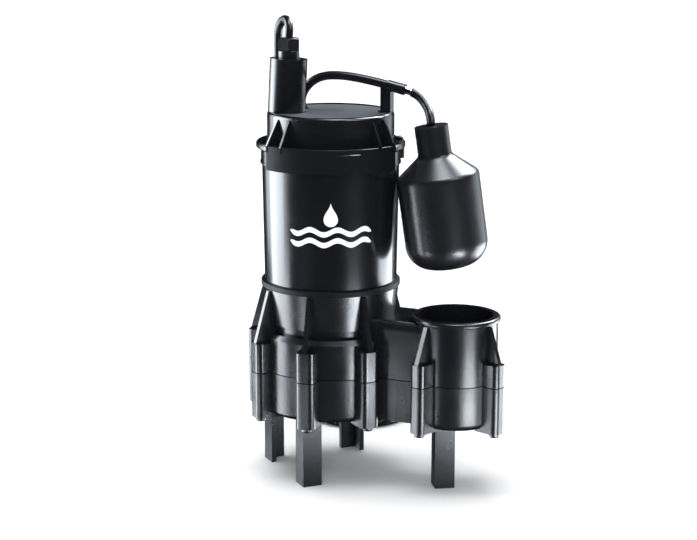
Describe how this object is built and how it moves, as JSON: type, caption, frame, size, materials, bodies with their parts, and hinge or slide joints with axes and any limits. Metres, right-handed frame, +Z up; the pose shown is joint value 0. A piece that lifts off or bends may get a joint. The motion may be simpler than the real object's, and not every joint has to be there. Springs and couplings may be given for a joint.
{
  "type": "submersible sump pump",
  "caption": "Black submersible sump pump on short legs, with a ribbed volute, a side discharge port facing up and a tethered float switch.",
  "frame": {"origin": "on the floor, under the middle of the pump's box without its cords", "axes": "+Z up along the motor shaft, +X from the motor towards the discharge port"},
  "size_m": [0.242, 0.2629, 0.3754],
  "materials": {
    "gloss_black": "polished moulding",
    "volute_black": "moulded, finely grained",
    "gland_black": "moulded",
    "disc_grey": "satin",
    "ring_rubber": "matt",
    "cord_jacket": "smooth vinyl jacket",
    "screw_steel": "dark plated",
    "impeller_plastic": "glass filled",
    "brass": "bright",
    "steel": "ground",
    "ceramic_white": "lapped",
    "carbon": "lapped carbon",
    "cast_metal": "as cast",
    "lamination": "stacked steel",
    "copper": "enamelled copper",
    "can_metal": "drawn can",
    "terminal_plastic": "moulded",
    "bright_crimp": "polished crimp",
    "float_black": "blow moulded, satin gloss",
    "plug_black": "moulded vinyl"
  },
  "bodies": {
    "pump": {"cap_disc": "disc_grey", "cap_gasket": "ring_rubber", "cap_screws": "screw_steel", "coil_tie": "cord_jacket", "float_lead": "cord_jacket", "gland_collar": "gland_black", "gland_nut": "gland_black", "gland_seal": "ring_rubber", "housing_ring": "ring_rubber", "lead_grommet": "ring_rubber", "lower_bearing_outer": "steel", "lower_bell": "cast_metal", "motor_housing": "gloss_black", "oil_seal": "ring_rubber", "plug_blades": "brass", "plug_body": "plug_black", "plug_ground_pin": "brass", "power_cord": "cord_jacket", "power_cord_coil": "cord_jacket", "seal_seat": "ceramic_white", "start_capacitor": "can_metal", "stator_core": "lamination", "terminal_block": "terminal_plastic", "tether_ferrule": "bright_crimp", "thermal_overload": "terminal_plastic", "top_cap": "gloss_black", "upper_bearing_outer": "steel", "upper_bracket": "cast_metal", "volute_gasket": "ring_rubber", "volute_lower": "volute_black", "volute_screws": "screw_steel", "volute_upper": "volute_black", "winding_lower": "copper", "winding_upper": "copper"},
    "rotor": {"shaft": "steel", "impeller": "impeller_plastic", "impeller_nut": "brass", "seal_face": "carbon", "seal_spring": "steel", "rotor_core": "lamination", "rotor_end_rings": "cast_metal", "lower_bearing_inner": "steel", "upper_bearing_inner": "steel"},
    "bearing_balls": {"lower_bearing_balls": "steel", "upper_bearing_balls": "steel"},
    "float": {"float_shell": "float_black", "float_seal": "ring_rubber", "float_tether": "cord_jacket", "switch_case": "terminal_plastic", "micro_switch": "terminal_plastic"},
    "switch_ball": {"switch_ball": "steel"},
    "switch_lever": {"switch_lever": "steel"}
  },
  "joints": [
    {"name": "impeller_spin", "type": "hinge", "parent": "pump", "child": "rotor", "pos_m": [-0.04279, 0, 0.2], "axis": [0, 0, 1], "continuous": true},
    {"name": "bearing_balls_spin", "type": "hinge", "parent": "pump", "child": "bearing_balls", "pos_m": [-0.04279, 0, 0.2], "axis": [0, 0, 1], "continuous": true},
    {"name": "float_swing", "type": "hinge", "parent": "pump", "child": "float", "pos_m": [0.01943, 0.02107, 0.3136], "axis": [0.4226, -0.9063, 0], "range_deg": [0, 130], "deforming": ["float_tether"]},
    {"name": "switch_ball_roll", "type": "slide", "parent": "float", "child": "switch_ball", "axis": [-0.1277, -0.0595, 0.99], "range_m": [0, 0.006]},
    {"name": "switch_lever_tip", "type": "hinge", "parent": "float", "child": "switch_lever", "pos_m": [0.04285, 0.00904, 0.21964], "axis": [0.4226, -0.9063, 0], "range_deg": [0, 30]}
  ],
  "couplings": [
    {"joint": "bearing_balls_spin", "follows": "impeller_spin", "ratio": 0.386},
    {"joint": "switch_lever_tip", "follows": "switch_ball_roll", "rad_per_m": 85.2}
  ]
}
